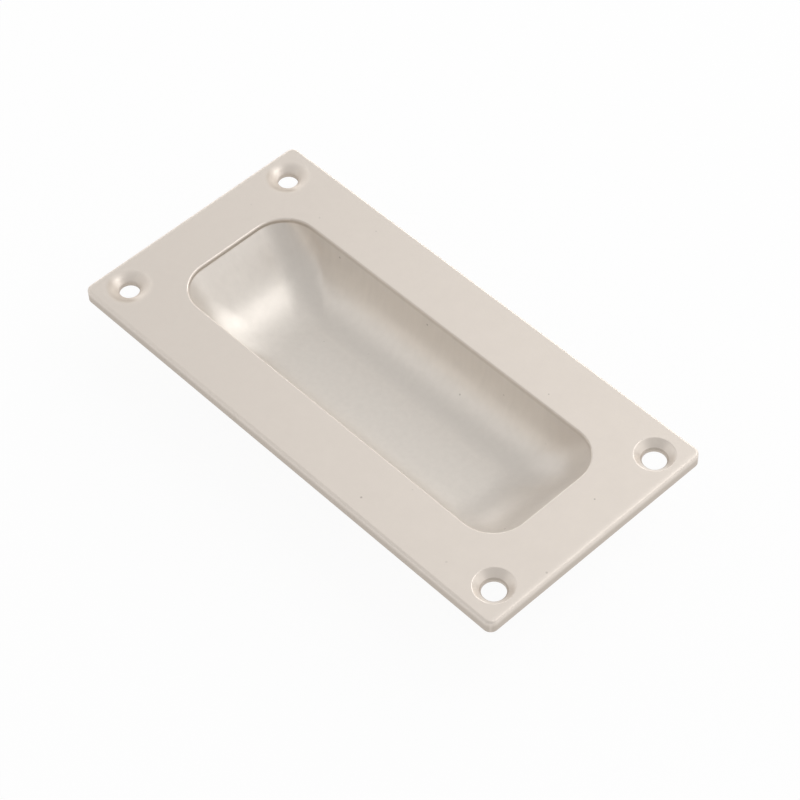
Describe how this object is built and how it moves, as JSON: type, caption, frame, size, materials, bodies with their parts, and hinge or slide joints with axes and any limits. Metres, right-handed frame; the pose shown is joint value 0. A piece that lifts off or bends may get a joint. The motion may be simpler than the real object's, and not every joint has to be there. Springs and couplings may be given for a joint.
{
  "type": "pocket door pull",
  "caption": "Rectangular flush pull pressed from one sheet, with a drawn finger recess and a countersunk screw hole near each corner.",
  "frame": {"origin": "centre of the screw pattern, in the plane of the sheet's back, where the screw holes open; the border meets the door 0.6 mm behind it", "axes": "+X along the plate, +Y across it, +Z out of the door towards the hand"},
  "size_m": [0.102, 0.05, 0.0132],
  "materials": {
    "satin_metal": "fine satin, anodised in a warm grey with a faint nickel cast"
  },
  "bodies": {
    "root": {"pull_plate": "satin_metal"}
  },
  "joints": []
}
